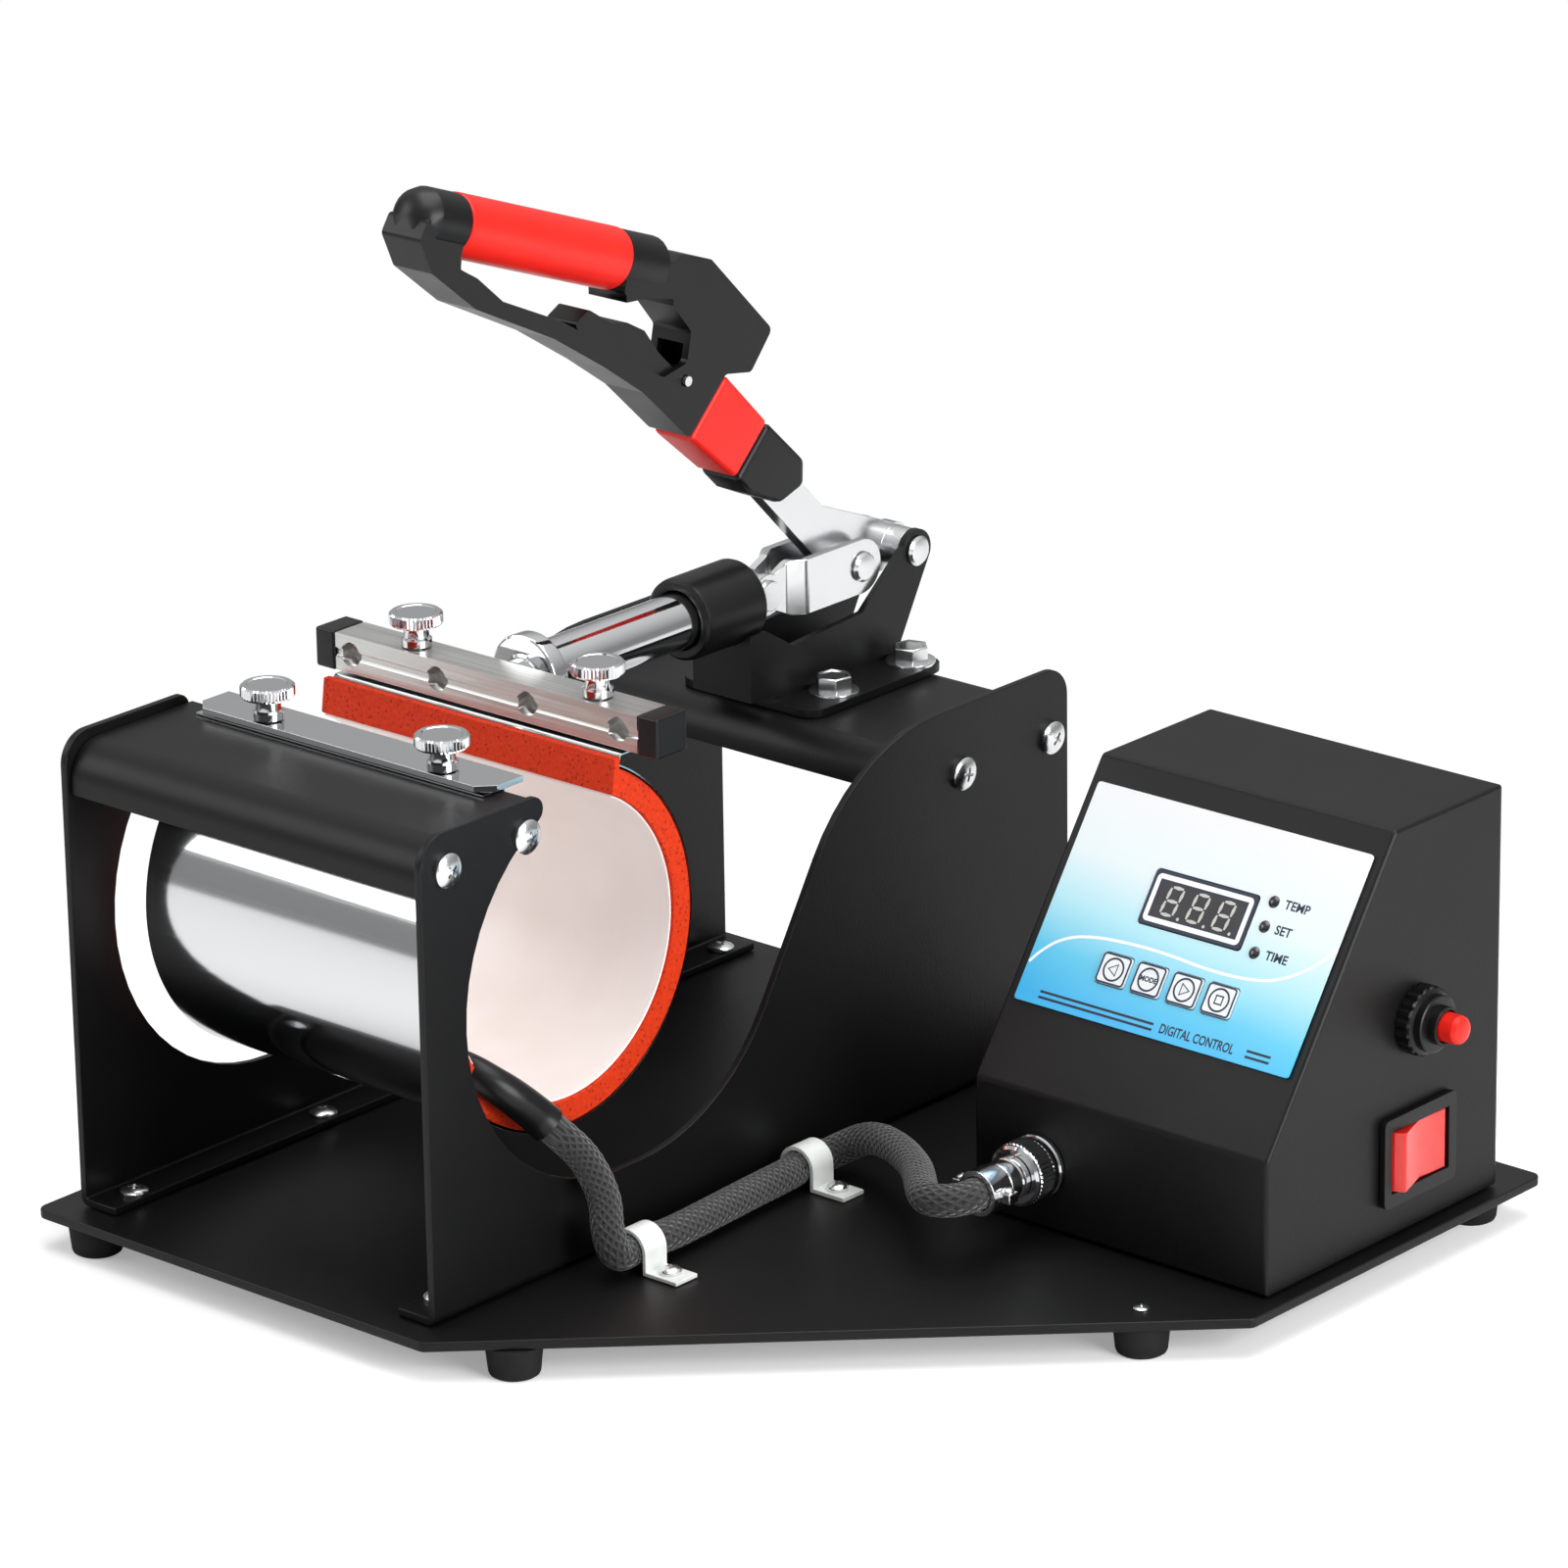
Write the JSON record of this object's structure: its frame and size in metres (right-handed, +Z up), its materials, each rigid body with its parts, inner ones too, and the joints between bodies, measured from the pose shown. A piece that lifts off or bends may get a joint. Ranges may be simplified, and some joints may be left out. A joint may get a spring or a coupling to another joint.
{
  "type": "mug heat press",
  "caption": "Heat press for mugs: flexible heater band closed by a push-pull toggle clamp with a D-shaped handle, beside a sloping control box on one base plate.",
  "frame": {"origin": "centre of the whole part's box, on the surface that the feet stand on", "axes": "+X towards the control box, +Y from the heater band to the clamp's pivot, +Z up"},
  "size_m": [0.331, 0.2928, 0.3109],
  "materials": {
    "powder_coat": "satin black powder coat",
    "black_plastic": "moulded, slightly glossy black",
    "foot_rubber": "matt",
    "red_plastic": "satin red",
    "stainless_steel": "bright",
    "plated_steel": "zinc plated",
    "aluminium": "brushed, sawn ends capped",
    "silicone": "matt orange-red with fine specks",
    "braid": "braided sleeve",
    "white_nylon": "moulded nylon",
    "panel_film": "printed film",
    "window_film": "smoked window",
    "board": "green solder mask"
  },
  "bodies": {
    "stand": {"base_plate": "powder_coat", "cable_clip_front": "white_nylon", "cable_clip_rear": "white_nylon", "clamp_base": "powder_coat", "control_board": "board", "control_box_cover": "powder_coat", "control_box_floor": "powder_coat", "control_panel": "panel_film", "cord_grip": "stainless_steel", "display_window": "window_film", "foot_front_left": "foot_rubber", "foot_front_middle": "foot_rubber", "foot_rear_left": "foot_rubber", "foot_rear_right": "foot_rubber", "foot_right": "foot_rubber", "front_clamp_strip": "stainless_steel", "front_cover": "powder_coat", "guide_sleeve": "black_plastic", "heater_conduit": "black_plastic", "heater_lead": "braid", "heater_mat_bottom": "silicone", "heater_mat_front": "silicone", "heater_shell_bottom": "stainless_steel", "heater_shell_front": "stainless_steel", "lead_plug": "stainless_steel", "lead_socket": "stainless_steel", "mains_inlet": "black_plastic", "pivot_pin": "plated_steel", "rear_cover": "powder_coat", "reset_switch": "black_plastic", "side_plate_left": "powder_coat", "side_plate_right": "powder_coat", "switch_housing": "black_plastic"},
    "lever": {"lever_bar": "plated_steel", "handle_ferrule": "black_plastic", "handle_collar": "red_plastic", "handle_frame": "black_plastic", "grip_sleeve": "red_plastic", "latch_pin": "plated_steel", "link_pin": "plated_steel"},
    "links": {"link_left": "plated_steel", "link_right": "plated_steel"},
    "plunger": {"plunger_rod": "stainless_steel", "rear_clamp_bar": "aluminium", "bar_cap_left": "black_plastic", "bar_cap_right": "black_plastic", "heater_shell_rear": "stainless_steel", "heater_mat_rear": "silicone"},
    "latch": {"latch_trigger": "black_plastic"},
    "thumb_front_left": {"thumb_screw_front_left": "stainless_steel"},
    "thumb_front_right": {"thumb_screw_front_right": "stainless_steel"},
    "thumb_rear_left": {"thumb_screw_rear_left": "stainless_steel"},
    "thumb_rear_right": {"thumb_screw_rear_right": "stainless_steel"},
    "coupling_ring": {"coupling_ring": "stainless_steel"},
    "rocker": {"switch_rocker": "red_plastic"},
    "reset_button": {"reset_button": "red_plastic"},
    "key_1": {"panel_key_1": "panel_film"},
    "key_2": {"panel_key_2": "panel_film"},
    "key_3": {"panel_key_3": "panel_film"},
    "key_4": {"panel_key_4": "panel_film"}
  },
  "joints": [
    {"name": "lever_swing", "type": "hinge", "parent": "stand", "child": "lever", "pos_m": [-0.0865, 0.13965, 0.1565], "axis": [-1, 0, 0], "range_deg": [0, 90]},
    {"name": "link_swing", "type": "hinge", "parent": "lever", "child": "links", "pos_m": [-0.0865, 0.11765, 0.1565], "axis": [1, 0, 0], "range_deg": [0, 124.96]},
    {"name": "plunger_slide", "type": "slide", "parent": "stand", "child": "plunger", "axis": [0, 1, 0], "range_m": [0, 0.02894], "deforming": ["heater_mat_bottom", "heater_shell_bottom"]},
    {"name": "latch_squeeze", "type": "hinge", "parent": "lever", "child": "latch", "pos_m": [-0.0865, 0.04269, 0.23147], "axis": [-1, 0, 0], "range_deg": [0, 5], "stiffness_Nm_per_rad": 0.5, "springref_deg": -5.73},
    {"name": "thumb_front_left_turn", "type": "hinge", "parent": "stand", "child": "thumb_front_left", "pos_m": [-0.1188, -0.09115, 0.1578], "axis": [0, 0, 1], "continuous": true},
    {"name": "thumb_front_right_turn", "type": "hinge", "parent": "stand", "child": "thumb_front_right", "pos_m": [-0.0511, -0.09115, 0.1578], "axis": [0, 0, 1], "continuous": true},
    {"name": "thumb_rear_left_turn", "type": "hinge", "parent": "plunger", "child": "thumb_rear_left", "pos_m": [-0.1182, -0.03115, 0.1578], "axis": [0, 0, 1], "continuous": true},
    {"name": "thumb_rear_right_turn", "type": "hinge", "parent": "plunger", "child": "thumb_rear_right", "pos_m": [-0.0476, -0.03115, 0.1578], "axis": [0, 0, 1], "continuous": true},
    {"name": "ring_turn", "type": "hinge", "parent": "stand", "child": "coupling_ring", "pos_m": [0.0675, 0.01715, 0.0322], "axis": [0, -1, 0], "continuous": true},
    {"name": "rocker_tip", "type": "hinge", "parent": "stand", "child": "rocker", "pos_m": [0.1457, 0.09125, 0.0367], "axis": [0, 0, -1], "range_deg": [0, 16]},
    {"name": "reset_press", "type": "slide", "parent": "stand", "child": "reset_button", "axis": [-1, 0, 0], "range_m": [0, 0.0025], "stiffness_N_per_m": 400, "springref_m": -0.001},
    {"name": "key_1_press", "type": "slide", "parent": "stand", "child": "key_1", "axis": [0, 0.8172, -0.5763], "range_m": [0, 0.0005], "stiffness_N_per_m": 800, "springref_m": -0.0005},
    {"name": "key_2_press", "type": "slide", "parent": "stand", "child": "key_2", "axis": [0, 0.8172, -0.5763], "range_m": [0, 0.0005], "stiffness_N_per_m": 800, "springref_m": -0.0005},
    {"name": "key_3_press", "type": "slide", "parent": "stand", "child": "key_3", "axis": [0, 0.8172, -0.5763], "range_m": [0, 0.0005], "stiffness_N_per_m": 800, "springref_m": -0.0005},
    {"name": "key_4_press", "type": "slide", "parent": "stand", "child": "key_4", "axis": [0, 0.8172, -0.5763], "range_m": [0, 0.0005], "stiffness_N_per_m": 800, "springref_m": -0.0005}
  ],
  "couplings": [
    {"joint": "link_swing", "follows": "lever_swing", "ratio": 1.3883},
    {"joint": "plunger_slide", "follows": "lever_swing", "m_per_rad": 0.018417}
  ]
}
